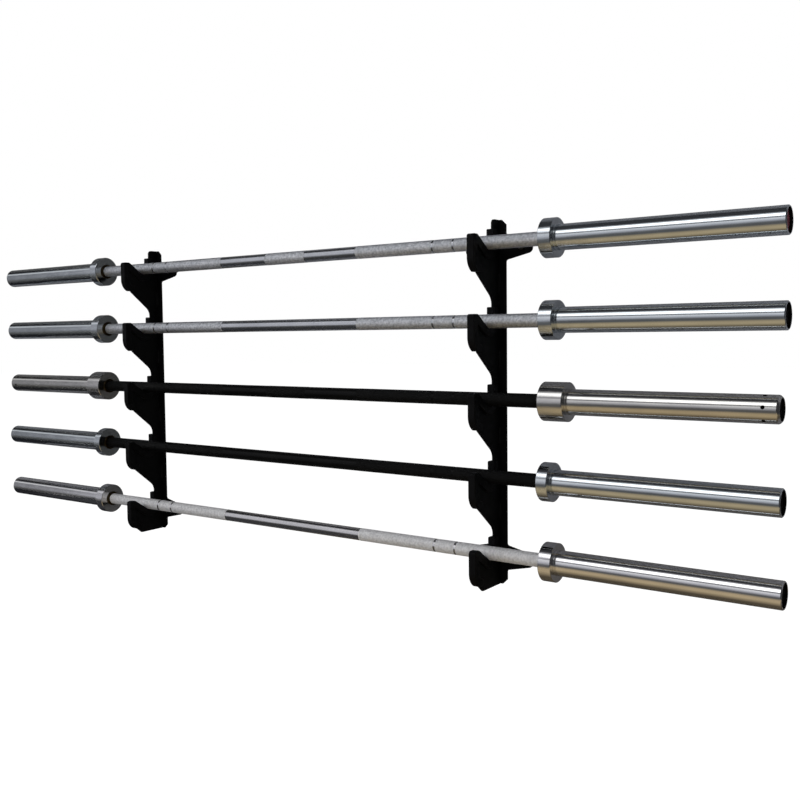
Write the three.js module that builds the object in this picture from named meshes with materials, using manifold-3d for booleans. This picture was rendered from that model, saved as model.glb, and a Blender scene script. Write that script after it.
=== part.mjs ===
// Wall rack for five barbells: two steel uprights with plastic-lined hooks, and the bars they carry.
// Millimetres. X runs along the bars, -Y points out of the wall and +Z is up.
// The origin lies on the wall, midway between the uprights and level with the middle bar.

import * as THREE from 'three';
import { mergeVertices } from 'three/addons/utils/BufferGeometryUtils.js';
import Module from 'manifold-3d';

const wasm = await Module();
wasm.setup();

// Layout of the rack
const barCount = 5;
const barPitch = 157;
const uprightSpacing = 1036;
const barReach = 55; // from the wall to a resting bar's axis
const fitGap = 0.3; // left between pieces that touch on the real rack
const cutOverrun = 2; // how far a cutting solid passes the face that it cuts

// Bars: the sizes that they share
const gripLength = 1310; // between the two collars' inner faces
const shaftRadius = 14;
const sleeveRadius = 25;
const sleeveWall = 7.5; // round the bushing
const collarHeight = 13.3; // how far a collar stands out from its sleeve
const collarChamfer = 1;
const runningGap = 0.7; // radial, between a journal and what turns on it
const bushingWall = 4;
const bushingLength = 40;
const bushingFlangeHeight = 1.8;
const bushingFlangeThickness = 2.5;
const mouthDepth = 12;
const endWallThickness = 10;
const endBoltRecess = 5;
const endBoltHeadGap = 1.5; // radial, to the sleeve's mouth
const endBoltShankRadius = 5;
const endBoltShankLength = 40;
const endBoltHoleGap = 0.6; // radial and in depth, round the end bolt's shank
const spannerHoleRadius = 3.5;
const spannerHoleInset = 26; // from the sleeve's end
const spannerHoleTurnDegrees = 49; // from level, at the first hole

// Bars: what differs, listed from the top bar down. A bar may lie off the middle, by a share of its play.
const plainSleeveLength = 437;
const shortSleeveLength = 431;
const plainCollarWidth = 26.5;
const thickCollarWidth = 28.5;
const wideCollarWidth = 51;
const slimCollarWidth = 23;
const plainMouthWall = 3; // round the recess in a sleeve's end
const thickMouthWall = 5;
const plainEndChamfer = 1.5;
const wideEndChamfer = 4;
const sidePlay = 20;
const plainEnd = { sleeveLength: plainSleeveLength, mouthWall: plainMouthWall, endChamfer: plainEndChamfer };
const heavyEnd = { sleeveLength: shortSleeveLength, mouthWall: thickMouthWall, endChamfer: wideEndChamfer };
const bars = [
  { ...plainEnd, shiftShare: -0.4, collarWidth: plainCollarWidth, spannerHoles: 0, shaft: 'satin' },
  { ...plainEnd, shiftShare: -0.4, collarWidth: thickCollarWidth, spannerHoles: 0, shaft: 'satin' },
  { ...heavyEnd, shiftShare: -0.5, collarWidth: wideCollarWidth, spannerHoles: 6, shaft: 'black' },
  { ...plainEnd, shiftShare: -0.65, collarWidth: slimCollarWidth, spannerHoles: 0, shaft: 'black' },
  { ...plainEnd, shiftShare: -0.45, collarWidth: plainCollarWidth, spannerHoles: 0, shaft: 'satin' },
];

// Liners: a grooved plastic strip pushed over each hook's edge. Heights count from the bar's axis.
const linerWidth = 16;
const linerThickness = 9; // outside the plate's edge
const linerLip = 8; // overlap on the plate's sides
const linerRise = 29;
const linerEndRound = 2.5;
const seatClearance = 0.5;
const seatSlopeDegrees = 34;
const noseReach = 65; // from the bar's axis to the nose's front
const noseRise = 14.5;
const noseFrontRound = 6;
const noseBackRound = 8;
const heelRadius = 32;
const heelDrop = 31;
const linerTailReach = 47.5; // from the bar's axis out to the liner's lower end

// Hook plates: one upright plate each side, on edge to the wall
const plateThickness = 5;
const slopeStartReach = 40; // where the bare plate leaves the liner, out from the bar's axis
const slopeStartDrop = 61.5;
const slopeDegrees = 38;
const slopeFillet = 27;
const topRound = 9;
const uprightRise = 49.5; // above the top bar's axis
const uprightDrop = 74; // below the bottom bar's axis

// Wall plates: a flat strip with cut corners and four pointed lugs, welded across each hook plate's back
const wallPlateThickness = 5;
const wallPlateWidth = 34;
const wallPlateCornerCut = 10;
const lugReach = 76; // from the strip's middle to a lug's tip
const lugRootHeight = 52;
const lugTipHeight = 25;
const lugTipRound = 11;
const lugRootRound = 5;
const lugInset = 56; // from the strip's end to a lug's middle
const boltHoleReach = 52;
const boltHoleRadius = 4.5;

// Wall bolts: hexagon lag bolts with a washer face
const boltShankRadius = 4;
const boltShankLength = 30;
const boltTipLength = 6;
const boltTipRadius = 1.2;
const boltFlangeRadius = 7.5;
const boltFlangeThickness = 1;
const boltHeadAcrossFlats = 13;
const boltHeadHeight = 5.5;

// Facets
const roundSides = 16;
const boltSides = 10;
const hexagonSides = 6;
const arcSteps = 4;
const cradleSteps = 8;

// Finishes
function finish(colour, roughness, metalness) {
  return () => new THREE.MeshStandardMaterial({ color: colour, roughness, metalness });
}

const blackSteel = finish(0x161617, 0.5, 0.3);
const blackPlastic = finish(0x0c0d10, 0.6, 0);
const boltSteel = finish(0x8a8c8e, 0.4, 1);
const chrome = finish(0xd4d6d8, 0.2, 1);
const bronze = finish(0x9a7440, 0.4, 1);
const blackOxide = finish(0x121214, 0.4, 0.6);
const shaftFinishes = { satin: finish(0xbabcbe, 0.4, 1), black: blackOxide };

function piece(name, geometry, material) {
  const mesh = new THREE.Mesh(geometry, material());
  mesh.name = name;
  return mesh;
}

// Solids from meshes and back, for the joins and cuts
function toSolid(geometry) {
  const bare = geometry.clone();
  bare.deleteAttribute('normal');
  bare.deleteAttribute('uv');
  const merged = mergeVertices(bare);
  const vertProperties = new Float32Array(merged.attributes.position.array);
  const triVerts = new Uint32Array(merged.index.array);
  return new wasm.Manifold(new wasm.Mesh({ numProp: 3, vertProperties, triVerts }));
}

function toGeometry(solid) {
  const mesh = solid.getMesh();
  const geometry = new THREE.BufferGeometry();
  geometry.setAttribute('position', new THREE.BufferAttribute(mesh.vertProperties, 3));
  geometry.setIndex(new THREE.BufferAttribute(mesh.triVerts, 1));
  return geometry;
}

// A turned piece: its profile is a list of [radius, place along the axis], and the axis becomes +X
function turned(profile, sides = roundSides) {
  const points = profile.map(([radius, along]) => new THREE.Vector2(radius, along));
  return new THREE.LatheGeometry(points, sides).rotateZ(-Math.PI / 2);
}

// Points along an arc, ends included, between two angles in radians
function arc(x, y, radius, from, to, steps) {
  return Array.from({ length: steps + 1 }, (_, step) => {
    const angle = from + ((to - from) * step) / steps;
    return new THREE.Vector2(x + radius * Math.cos(angle), y + radius * Math.sin(angle));
  });
}

// A closed outline from corners [x, y, radius]: each corner with a radius is rounded
function rounded(corners) {
  const points = [];
  corners.forEach(([x, y, radius = 0], index) => {
    const corner = new THREE.Vector2(x, y);
    const before = corners.at(index - 1);
    const after = corners[(index + 1) % corners.length];
    if (radius <= 0) {
      points.push(corner);
      return;
    }
    const back = new THREE.Vector2(before[0] - x, before[1] - y).normalize();
    const on = new THREE.Vector2(after[0] - x, after[1] - y).normalize();
    const half = Math.acos(THREE.MathUtils.clamp(back.dot(on), -1, 1)) / 2;
    const middle = back.clone().add(on).normalize().multiplyScalar(radius / Math.sin(half)).add(corner);
    const start = back.multiplyScalar(radius / Math.tan(half)).add(corner).sub(middle);
    const end = on.multiplyScalar(radius / Math.tan(half)).add(corner).sub(middle);
    const turn = Math.atan2(start.cross(end), start.dot(end));
    points.push(...arc(middle.x, middle.y, radius, start.angle(), start.angle() + turn, arcSteps));
  });
  return points;
}

// Plates on edge to the wall: an outline drawn as (reach from the wall, height), thickened along X
function onEdge(outline, thickness) {
  const shape = new THREE.Shape(outline);
  const geometry = new THREE.ExtrudeGeometry(shape, { depth: thickness, bevelEnabled: false });
  geometry.translate(0, 0, -thickness / 2);
  const reach = new THREE.Vector3(0, -1, 0);
  const up = new THREE.Vector3(0, 0, 1);
  const across = new THREE.Vector3(-1, 0, 0);
  return geometry.applyMatrix4(new THREE.Matrix4().makeBasis(reach, up, across));
}

// The hook's edge, set in from the liner's outside: tail, heel, nose, slope, cradle and back, upwards.
// The tail is a straight run down from the heel, at its own reach from the bar's axis.
function hookEdge(inset, tailReach) {
  const slope = THREE.MathUtils.degToRad(seatSlopeDegrees);
  const seat = shaftRadius + seatClearance;
  const front = noseReach - inset;
  const top = noseRise - inset;
  const heel = heelRadius - inset;
  const heelMiddle = noseReach - heelRadius;
  const slopeReachAt = (height) => (height * Math.cos(slope) + seat + inset) / Math.sin(slope);
  const slopeHeightAt = (reach) => (reach * Math.sin(slope) - seat - inset) / Math.cos(slope);
  const backOfTop = slopeReachAt(top);
  const nose = backOfTop < front
    ? rounded([
      [front, -heelDrop],
      [front, top, noseFrontRound - inset],
      [backOfTop, top, noseBackRound - inset],
      [0, slopeHeightAt(0)],
    ]).slice(1, -1)
    : [new THREE.Vector2(front, slopeHeightAt(front))];
  const tailAngle = Math.acos(THREE.MathUtils.clamp((tailReach - heelMiddle) / heel, -1, 1));
  const edge = [
    new THREE.Vector2(tailReach, linerTailLevel()),
    ...arc(heelMiddle, -heelDrop, heel, -tailAngle, 0, arcSteps),
    ...nose,
    ...arc(0, 0, seat + inset, slope - Math.PI / 2, -Math.PI, cradleSteps),
    new THREE.Vector2(-seat - inset, linerRise),
  ];
  return edge.map((point) => point.add(new THREE.Vector2(barReach, 0)));
}

// The liner's lower end lies where the outside of the heel comes in to the tail's reach
function linerTailLevel() {
  return -heelDrop - Math.sqrt(heelRadius ** 2 - (linerTailReach - noseReach + heelRadius) ** 2);
}

function linerGeometry() {
  const outside = hookEdge(0, linerTailReach);
  const backTop = outside.pop();
  const lipEdge = hookEdge(linerThickness + linerLip, slopeStartReach - linerLip);
  const end = rounded([
    [backTop.x, 0],
    [backTop.x, backTop.y, linerEndRound],
    [lipEdge.at(-1).x, backTop.y],
  ]).slice(1, -1);
  const strip = onEdge([...outside.slice(1), ...end, ...lipEdge.reverse()], linerWidth);
  const grooveEdge = hookEdge(linerThickness, slopeStartReach + fitGap);
  const foot = grooveEdge[0].clone().setY(grooveEdge[0].y - cutOverrun);
  const head = grooveEdge.at(-1).clone().setY(grooveEdge.at(-1).y + cutOverrun);
  const core = [foot, ...grooveEdge, head, new THREE.Vector2(0, head.y), new THREE.Vector2(0, foot.y)];
  const groove = onEdge(core, plateThickness + fitGap + fitGap);
  return toGeometry(toSolid(strip).subtract(toSolid(groove)));
}

function barLevel(index) {
  return barPitch * ((barCount - 1) / 2 - index);
}

function uprightTop() {
  return barLevel(0) + uprightRise;
}

function uprightBottom() {
  return barLevel(barCount - 1) - uprightDrop;
}

// The hook plate: a strip along the wall that steps out into a hook under each bar
function hookPlateGeometry() {
  const fall = Math.tan(THREE.MathUtils.degToRad(slopeDegrees));
  const stripReach = barReach - shaftRadius - seatClearance - linerThickness - fitGap;
  const slopeReach = barReach + slopeStartReach;
  const bottomReach = slopeReach - (uprightDrop - slopeStartDrop) / fall;
  const outline = [
    new THREE.Vector2(wallPlateThickness, uprightBottom()),
    new THREE.Vector2(bottomReach, uprightBottom()),
  ];
  for (let index = barCount - 1; index >= 0; index -= 1) {
    const level = barLevel(index);
    const slopeStart = new THREE.Vector2(slopeReach, level - slopeStartDrop);
    if (index < barCount - 1) {
      const cornerDrop = slopeStartDrop + (slopeReach - stripReach) * fall;
      outline.push(...rounded([
        [stripReach, level - barPitch],
        [stripReach, level - cornerDrop, slopeFillet],
        [slopeStart.x, slopeStart.y],
      ]).slice(1, -1));
    }
    outline.push(slopeStart);
    const edge = hookEdge(linerThickness + fitGap, slopeStartReach);
    outline.push(...edge.slice(1, -1).map((point) => point.add(new THREE.Vector2(0, level))));
  }
  outline.push(...rounded([
    [stripReach, barLevel(0)],
    [stripReach, uprightTop(), topRound],
    [wallPlateThickness, uprightTop()],
  ]).slice(1, -1));
  outline.push(new THREE.Vector2(wallPlateThickness, uprightTop()));
  return onEdge(outline, plateThickness);
}

function lugLevels() {
  return [uprightTop() - lugInset, uprightBottom() + lugInset];
}

// The wall plate's outline is drawn as (across, height), one side and then the other
function wallPlateGeometry() {
  const halfWidth = wallPlateWidth / 2;
  const rightSide = [
    [halfWidth - wallPlateCornerCut, uprightTop()],
    [halfWidth, uprightTop() - wallPlateCornerCut],
  ];
  for (const level of lugLevels()) {
    rightSide.push(
      [halfWidth, level + lugRootHeight / 2, lugRootRound],
      [lugReach, level + lugTipHeight / 2, lugTipRound],
      [lugReach, level - lugTipHeight / 2, lugTipRound],
      [halfWidth, level - lugRootHeight / 2, lugRootRound],
    );
  }
  rightSide.push([halfWidth, uprightBottom() + wallPlateCornerCut]);
  rightSide.push([halfWidth - wallPlateCornerCut, uprightBottom()]);
  const leftSide = rightSide.map(([x, y, radius]) => [-x, y, radius]).reverse();
  const shape = new THREE.Shape(rounded([...rightSide, ...leftSide]));
  for (const [x, y] of boltPlaces()) {
    shape.holes.push(new THREE.Path(arc(x, y, boltHoleRadius, 0, Math.PI * 2, boltSides).slice(1)));
  }
  const geometry = new THREE.ExtrudeGeometry(shape, { depth: wallPlateThickness, bevelEnabled: false });
  return geometry.rotateX(Math.PI / 2);
}

// Where an upright's four bolts go, as (across, height), from the top left
function boltPlaces() {
  return lugLevels().flatMap((level) => [[-boltHoleReach, level], [boltHoleReach, level]]);
}

// A wall bolt, its head at the front of the wall plate and its shank running into the wall
function wallBoltGeometry() {
  const headRadius = boltHeadAcrossFlats / 2 / Math.cos(Math.PI / hexagonSides);
  const headTop = boltFlangeThickness + boltHeadHeight;
  const shank = turned([
    [0, -boltShankLength],
    [boltTipRadius, -boltShankLength],
    [boltShankRadius, -boltShankLength + boltTipLength],
    [boltShankRadius, 0],
    [boltFlangeRadius, 0],
    [boltFlangeRadius, boltFlangeThickness],
    [0, boltFlangeThickness],
  ], boltSides);
  const head = new THREE.CylinderGeometry(headRadius, headRadius, headTop, hexagonSides);
  head.translate(0, headTop / 2, 0).rotateZ(-Math.PI / 2);
  return toGeometry(toSolid(shank).add(toSolid(head))).rotateZ(-Math.PI / 2);
}

function upright(side, across) {
  const group = new THREE.Group();
  group.position.x = across;
  group.add(piece(`${side}_hook_plate`, hookPlateGeometry(), blackSteel));
  group.add(piece(`${side}_wall_plate`, wallPlateGeometry(), blackSteel));
  for (let index = 0; index < barCount; index += 1) {
    const liner = piece(`${side}_liner_${index + 1}`, linerGeometry(), blackPlastic);
    liner.position.z = barLevel(index);
    group.add(liner);
  }
  boltPlaces().forEach(([x, z], index) => {
    const bolt = piece(`${side}_wall_bolt_${index + 1}`, wallBoltGeometry(), boltSteel);
    bolt.position.set(x, -wallPlateThickness - fitGap, z);
    group.add(bolt);
  });
  return group;
}

// Radii inside a sleeve, from its outside in: the recess at its end, its bore and the shaft's journal
function sleeveRadii(bar) {
  const bore = sleeveRadius - sleeveWall;
  const journal = bore - fitGap - bushingWall - runningGap;
  return { collar: sleeveRadius + collarHeight, mouth: sleeveRadius - bar.mouthWall, bore, journal };
}

// Lengths along a bar, from its middle out to one end
function barStations(bar) {
  const collar = gripLength / 2;
  const end = collar + bar.sleeveLength;
  const shoulder = collar - bushingFlangeThickness - fitGap - fitGap;
  const mouth = end - mouthDepth;
  return { collar, end, shoulder, mouth, journalEnd: mouth - fitGap };
}

// The shaft: thick between the sleeves, turned down to a journal in each, tapped for the end bolts
function shaftGeometry(bar) {
  const { shoulder, journalEnd } = barStations(bar);
  const { journal } = sleeveRadii(bar);
  const holeRadius = endBoltShankRadius + endBoltHoleGap;
  const holeEnd = journalEnd - endBoltShankLength - endBoltHoleGap;
  const half = [
    [shaftRadius, shoulder],
    [journal, shoulder],
    [journal, journalEnd],
    [holeRadius, journalEnd],
    [holeRadius, holeEnd],
    [0, holeEnd],
  ];
  const otherHalf = half.map(([radius, along]) => [radius, -along]).reverse();
  return turned([...otherHalf, ...half]);
}

// The sleeve with its collar: bored for the bushing, with a wall near its outer end
function sleeveGeometry(bar) {
  const { collar, end, mouth } = barStations(bar);
  const radii = sleeveRadii(bar);
  const wallBore = radii.journal + runningGap;
  const wallStart = mouth - endWallThickness;
  const collarEnd = collar + bar.collarWidth;
  const profile = [
    [radii.bore, collar],
    [radii.collar - collarChamfer, collar],
    [radii.collar, collar + collarChamfer],
    [radii.collar, collarEnd - collarChamfer],
    [radii.collar - collarChamfer, collarEnd],
    [sleeveRadius, collarEnd],
    [sleeveRadius, end - bar.endChamfer],
    [sleeveRadius - bar.endChamfer, end],
    [radii.mouth, end],
    [radii.mouth, mouth],
    [wallBore, mouth],
    [wallBore, wallStart],
    [radii.bore, wallStart],
    [radii.bore, collar],
  ];
  let solid = toSolid(turned(profile));
  const drill = toSolid(new THREE.CylinderGeometry(
    spannerHoleRadius, spannerHoleRadius, sleeveRadius + cutOverrun, boltSides,
  ).translate(0, (sleeveRadius + cutOverrun) / 2, 0));
  for (let hole = 0; hole < bar.spannerHoles; hole += 1) {
    const turn = spannerHoleTurnDegrees + (hole * 360) / bar.spannerHoles;
    solid = solid.subtract(drill.rotate([turn, 0, 0]).translate([end - spannerHoleInset, 0, 0]));
  }
  return toGeometry(solid);
}

// A flanged bronze bushing, pressed into the sleeve from its collar end
function bushingGeometry(bar) {
  const { collar } = barStations(bar);
  const radii = sleeveRadii(bar);
  const bore = radii.journal + runningGap;
  const outside = radii.bore - fitGap;
  const flange = outside + bushingFlangeHeight;
  const flangeEnd = collar - fitGap;
  const profile = [
    [bore, flangeEnd - bushingFlangeThickness],
    [flange, flangeEnd - bushingFlangeThickness],
    [flange, flangeEnd],
    [outside, flangeEnd],
    [outside, flangeEnd + bushingLength],
    [bore, flangeEnd + bushingLength],
    [bore, flangeEnd - bushingFlangeThickness],
  ];
  return turned(profile);
}

// The end bolt: screwed into the shaft, its wide head keeps the sleeve on
function endBoltGeometry(bar) {
  const { end, mouth, journalEnd } = barStations(bar);
  const headStart = mouth + fitGap;
  const headRadius = sleeveRadii(bar).mouth - endBoltHeadGap;
  return turned([
    [0, journalEnd - endBoltShankLength],
    [endBoltShankRadius, journalEnd - endBoltShankLength],
    [endBoltShankRadius, headStart],
    [headRadius, headStart],
    [headRadius, end - endBoltRecess],
    [0, end - endBoltRecess],
  ]);
}

function barbell(index) {
  const bar = bars[index];
  const name = `bar_${index + 1}`;
  const group = new THREE.Group();
  group.position.set(bar.shiftShare * sidePlay, -barReach, barLevel(index));
  group.add(piece(`${name}_shaft`, shaftGeometry(bar), shaftFinishes[bar.shaft]));
  for (const [side, turn] of [['left', Math.PI], ['right', 0]]) {
    const half = new THREE.Group();
    half.rotation.z = turn;
    half.add(piece(`${name}_${side}_sleeve`, sleeveGeometry(bar), chrome));
    half.add(piece(`${name}_${side}_bushing`, bushingGeometry(bar), bronze));
    half.add(piece(`${name}_${side}_end_bolt`, endBoltGeometry(bar), blackOxide));
    group.add(half);
  }
  return group;
}

const group = new THREE.Group();
group.add(upright('left', -uprightSpacing / 2), upright('right', uprightSpacing / 2));
bars.forEach((_, index) => group.add(barbell(index)));

export default group;
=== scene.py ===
# Wall rack for five barbells: two black steel uprights with plastic-lined hooks, and the bars they carry.
# Sizes are in millimetres and become metres in the meshes. X runs along the bars, -Y out of the wall and
# +Z up.
# The origin lies on the wall, midway between the uprights and level with the middle bar.

import math

import bmesh
import bpy
from mathutils import Matrix, Quaternion, Vector


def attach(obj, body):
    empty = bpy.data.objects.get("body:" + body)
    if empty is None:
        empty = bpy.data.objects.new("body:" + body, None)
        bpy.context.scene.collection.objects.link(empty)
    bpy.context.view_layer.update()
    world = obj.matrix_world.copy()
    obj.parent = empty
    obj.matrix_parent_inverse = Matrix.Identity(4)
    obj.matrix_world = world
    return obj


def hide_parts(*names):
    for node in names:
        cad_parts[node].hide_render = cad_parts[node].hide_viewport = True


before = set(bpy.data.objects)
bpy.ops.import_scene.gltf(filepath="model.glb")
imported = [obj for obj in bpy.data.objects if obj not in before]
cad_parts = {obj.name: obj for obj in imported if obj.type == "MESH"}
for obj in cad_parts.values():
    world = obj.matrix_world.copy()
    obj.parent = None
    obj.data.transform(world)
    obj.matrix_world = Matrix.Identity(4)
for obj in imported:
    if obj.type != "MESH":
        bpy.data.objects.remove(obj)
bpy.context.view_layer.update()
scene = bpy.context.scene
mm = 0.001


# Camera: it stands to the right of the rack, a little above the middle bar, and looks left and slightly
# down through a lens of about 43 mm on a sensor 36 mm wide. Its place was fitted to the bars' ends.
camera_place = Vector((1461.2, -1757.7, 138.9))
camera_yaw = math.radians(37.227)
camera_pitch = math.radians(-3.253)
camera_roll = math.radians(0.782)
sensor_width = 36
lens_length = 42.99
lens_shift = (0.064, -0.0168)

camera = bpy.data.objects.new("camera", bpy.data.cameras.new("camera"))
camera.data.sensor_width = sensor_width
camera.data.lens = lens_length
camera.data.shift_x, camera.data.shift_y = lens_shift
camera.location = camera_place * mm
aim = Vector((-math.sin(camera_yaw), math.cos(camera_yaw), math.tan(camera_pitch)))
camera.rotation_mode = "QUATERNION"
camera.rotation_quaternion = aim.to_track_quat("-Z", "Y") @ Quaternion((0, 0, 1), -camera_roll)
scene.collection.objects.link(camera)
scene.camera = camera


# Wall plates: a strip of 5 mm steel down the back of each upright, cut with two pairs of pointed lugs that
# take the wall bolts. It is powder coated, which leaves a satin black skin with a faint orange peel.
bar_count = 5
bar_pitch = 157
upright_spacing = 1036
upright_rise = 49.5
upright_drop = 74
fit_gap = 0.3
wall_plate_thickness = 5
wall_plate_width = 34
wall_plate_corner_cut = 10
lug_reach = 76
lug_root_height = 52
lug_tip_height = 25
lug_tip_round = 11
lug_root_round = 5
lug_inset = 56
bolt_hole_reach = 52
bolt_hole_radius = 4.5
cut_edge_round = 0.5
circle_steps = 48
same_point = 0.001  # points nearer than this are one


def linear(code):
    """An sRGB colour, written as six hex digits, as linear red, green, blue and alpha."""
    channels = [int(code[i:i + 2], 16) / 255 for i in (0, 2, 4)]
    return [c / 12.92 if c <= 0.04045 else ((c + 0.055) / 1.055) ** 2.4 for c in channels] + [1]


def add_node(tree, kind, inputs=(), **settings):
    """Adds a node with its settings. Its inputs are a dictionary of numbers, colours or sockets to link."""
    made = tree.nodes.new("ShaderNode" + kind)
    for name, value in settings.items():
        setattr(made, name, value)
    for name, value in dict(inputs).items():
        if isinstance(value, bpy.types.NodeSocket):
            tree.links.new(value, made.inputs[name])
        else:
            made.inputs[name].default_value = value
    return made


def new_finish(name, shader_inputs):
    """A material with a Principled shader, whose constant values are set on its own sockets."""
    finish = bpy.data.materials.new(name)
    finish.use_nodes = True
    tree = finish.node_tree
    tree.nodes.clear()
    shader = add_node(tree, "BsdfPrincipled", shader_inputs)
    add_node(tree, "OutputMaterial", {"Surface": shader.outputs["BSDF"]})
    return finish, tree, shader.inputs


def own_space(tree):
    return add_node(tree, "TexCoord").outputs["Object"]


def grain(tree, place, size, detail=2.0, stretch=(1, 1, 1)):
    """Noise with grains of that size in millimetres, stretched along an axis if need be."""
    chance = add_node(tree, "ObjectInfo").outputs["Random"]
    shift = add_node(tree, "Math", {0: chance, 1: 50.0}, operation="MULTIPLY").outputs[0]
    scaled = add_node(tree, "Mapping", {"Vector": place, "Scale": [1 / (size * mm * s) for s in stretch]})
    inputs = {"Vector": scaled.outputs[0], "W": shift, "Scale": 1.0, "Detail": detail}
    return add_node(tree, "TexNoise", inputs, noise_dimensions="4D").outputs["Fac"]


def spread(tree, noise, low, high):
    """Noise, which mostly keeps between 0.3 and 0.7, spread over a range of values."""
    inputs = {"Value": noise, "From Min": 0.3, "From Max": 0.7, "To Min": low, "To Max": high}
    return add_node(tree, "MapRange", inputs).outputs[0]


def tint(tree, value, low, high):
    """Two colours mixed by a value between 0 and 1."""
    mixed = add_node(tree, "Mix", data_type="RGBA")
    tree.links.new(value, mixed.inputs[0])
    mixed.inputs[6].default_value = linear(low)
    mixed.inputs[7].default_value = linear(high)
    return mixed.outputs[2]


def relief(tree, height, depth, strength, under=None):
    """A bump of that depth in millimetres, over another bump if there is one."""
    inputs = {"Height": height, "Distance": depth * mm, "Strength": strength}
    if under:
        inputs["Normal"] = under
    return add_node(tree, "Bump", inputs).outputs[0]


def powder_coat():
    """Satin black polyester powder. Its orange peel is about 0.8 mm, drawn at 2 mm so that it shows."""
    finish, tree, shader = new_finish("black_powder_coat", {"Specular IOR Level": 0.1})
    place = own_space(tree)
    dust = spread(tree, grain(tree, place, 60), 0, 1)
    tree.links.new(tint(tree, dust, "030304", "060607"), shader["Base Color"])
    tree.links.new(spread(tree, grain(tree, place, 25), 0.45, 0.62), shader["Roughness"])
    tree.links.new(relief(tree, grain(tree, place, 2), 0.08, 0.6), shader["Normal"])
    return finish


def arc(x, y, radius, start, end, steps):
    """Points along an arc, ends included, between two angles in radians."""
    angles = [start + (end - start) * step / steps for step in range(steps + 1)]
    return [(x + radius * math.cos(angle), y + radius * math.sin(angle)) for angle in angles]


def rounded(corners, steps=10, closed=True):
    """An outline from corners (x, y, radius). A corner without a radius stays sharp."""
    points = []
    for index, (x, y, *radius) in enumerate(corners):
        at_end = not closed and index in (0, len(corners) - 1)
        if at_end or not radius or radius[0] <= 0:
            points.append((x, y))
            continue
        corner = Vector((x, y))
        back = (Vector(corners[index - 1][:2]) - corner).normalized()
        on = (Vector(corners[(index + 1) % len(corners)][:2]) - corner).normalized()
        half = back.angle(on) / 2
        middle = corner + (back + on).normalized() * radius[0] / math.sin(half)
        start = corner + back * radius[0] / math.tan(half) - middle
        end = corner + on * radius[0] / math.tan(half) - middle
        turn = math.atan2(start.x * end.y - start.y * end.x, start.dot(end))
        first = math.atan2(start.y, start.x)
        points += arc(middle.x, middle.y, radius[0], first, first + turn, steps)
    return points


def evaluated(name, data, *changes):
    """The mesh that an object of this data has once its modifiers are applied."""
    holder = bpy.data.objects.new(name, data)
    scene.collection.objects.link(holder)
    for kind, settings in changes:
        change = holder.modifiers.new(kind.lower(), kind)
        for setting, value in settings.items():
            setattr(change, setting, value)
    mesh = bpy.data.meshes.new_from_object(holder.evaluated_get(bpy.context.evaluated_depsgraph_get()))
    bpy.data.objects.remove(holder)
    mesh.name = name
    return mesh


def dressed(name, mesh, sharp_degrees=40):
    """Turns a mesh's faces outwards and shades it smooth between sharp edges, with flat faces kept flat."""
    shape = bmesh.new()
    shape.from_mesh(mesh)
    bmesh.ops.remove_doubles(shape, verts=shape.verts, dist=same_point * mm)
    bmesh.ops.dissolve_degenerate(shape, edges=shape.edges, dist=same_point * mm)
    bmesh.ops.recalc_face_normals(shape, faces=shape.faces)
    shape.to_mesh(mesh)
    shape.free()
    mesh.polygons.foreach_set("use_smooth", [True] * len(mesh.polygons))
    mesh.set_sharp_from_angle(angle=math.radians(sharp_degrees))
    return evaluated(name, mesh, ("WEIGHTED_NORMAL", {"keep_sharp": True}))


def plate_mesh(name, outlines, thickness, edge):
    """A flat plate in XY round its middle, from an outline and its holes, with rounded edges."""
    curve = bpy.data.curves.new(name, "CURVE")
    curve.dimensions = "2D"
    curve.fill_mode = "BOTH"
    curve.extrude = (thickness / 2 - edge) * mm
    curve.bevel_depth = edge * mm
    curve.offset = -edge * mm
    curve.bevel_resolution = 2
    for outline in outlines:
        spline = curve.splines.new("POLY")
        spline.points.add(len(outline) - 1)
        spline.use_cyclic_u = True
        for point, (x, y) in zip(spline.points, outline):
            point.co = (x * mm, y * mm, 0, 1)
    return dressed(name, evaluated(name, curve))


def stand_for(node, mesh, place, body, finish=None):
    """The finished piece that is seen in place of a CAD node, and moves with the node's body."""
    piece = bpy.data.objects.new("finished_" + node, mesh)
    piece.location = Vector(place) * mm
    scene.collection.objects.link(piece)
    if finish and not mesh.materials:
        mesh.materials.append(finish)
    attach(piece, body)
    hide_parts(node)
    return piece


def bar_level(index):
    return bar_pitch * ((bar_count - 1) / 2 - index)


upright_top = bar_level(0) + upright_rise
upright_bottom = bar_level(bar_count - 1) - upright_drop
lug_levels = (upright_top - lug_inset, upright_bottom + lug_inset)
bolt_places = [(across, level) for level in lug_levels for across in (-bolt_hole_reach, bolt_hole_reach)]
sides = {"left": -upright_spacing / 2, "right": upright_spacing / 2}

half_width = wall_plate_width / 2
cut_width = half_width - wall_plate_corner_cut
right_edge = [(cut_width, upright_top), (half_width, upright_top - wall_plate_corner_cut)]
for level in lug_levels:
    right_edge += [
        (half_width, level + lug_root_height / 2, lug_root_round),
        (lug_reach, level + lug_tip_height / 2, lug_tip_round),
        (lug_reach, level - lug_tip_height / 2, lug_tip_round),
        (half_width, level - lug_root_height / 2, lug_root_round),
    ]
right_edge += [(half_width, upright_bottom + wall_plate_corner_cut), (cut_width, upright_bottom)]
left_edge = [(-x, *rest) for x, *rest in reversed(right_edge)]
holes = [arc(x, y, bolt_hole_radius, 0, math.tau, circle_steps)[:-1] for x, y in bolt_places]
wall_plate_mesh = plate_mesh("wall_plate", [rounded(right_edge + left_edge), *holes],
                             wall_plate_thickness, cut_edge_round)
wall_plate_mesh.transform(Matrix.Rotation(math.pi / 2, 4, "X"))
black_coat = powder_coat()
for side, across in sides.items():
    stand_for(f"{side}_wall_plate", wall_plate_mesh, (across, -wall_plate_thickness / 2, 0),
              "rack", black_coat)


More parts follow.
